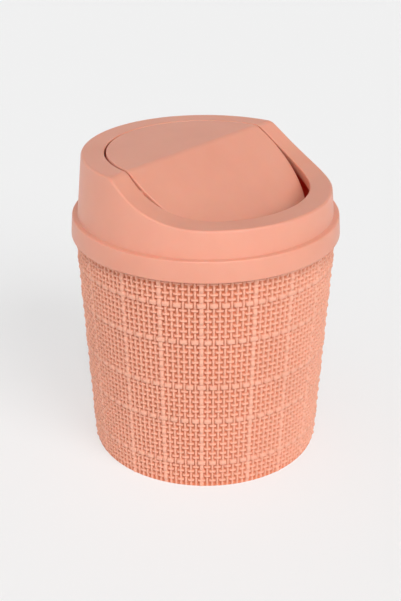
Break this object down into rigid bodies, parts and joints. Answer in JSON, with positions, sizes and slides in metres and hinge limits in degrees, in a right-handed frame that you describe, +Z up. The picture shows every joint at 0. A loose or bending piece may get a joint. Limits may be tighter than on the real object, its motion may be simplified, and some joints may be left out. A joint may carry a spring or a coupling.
{
  "type": "desktop trash can",
  "caption": "Small round desk bin: tapered bucket with a woven relief, lift-off hood with a sloped land and round mouth, and a folded flap that swings on moulded pins.",
  "frame": {"origin": "centre of the foot ring, on the surface the bin stands on", "axes": "+Z up along the bucket's axis; the low front of the hood faces -Y; the flap's pivot line runs along X"},
  "size_m": [0.1498, 0.1498, 0.175],
  "materials": {
    "bucket_plastic": "matte, fine grain, burlap relief",
    "lid_plastic": "matte, fine grain"
  },
  "bodies": {
    "bucket": {"bucket": "bucket_plastic"},
    "hood": {"hood": "lid_plastic"},
    "flap": {"flap": "lid_plastic"}
  },
  "joints": [
    {"name": "hood_lift", "type": "slide", "parent": "bucket", "child": "hood", "axis": [0, 0, 1], "range_m": [0, 0.06]},
    {"name": "flap_swing", "type": "hinge", "parent": "hood", "child": "flap", "pos_m": [0, -0.0027, 0.1645], "axis": [1, 0, 0], "range_deg": [-7, 80]}
  ]
}
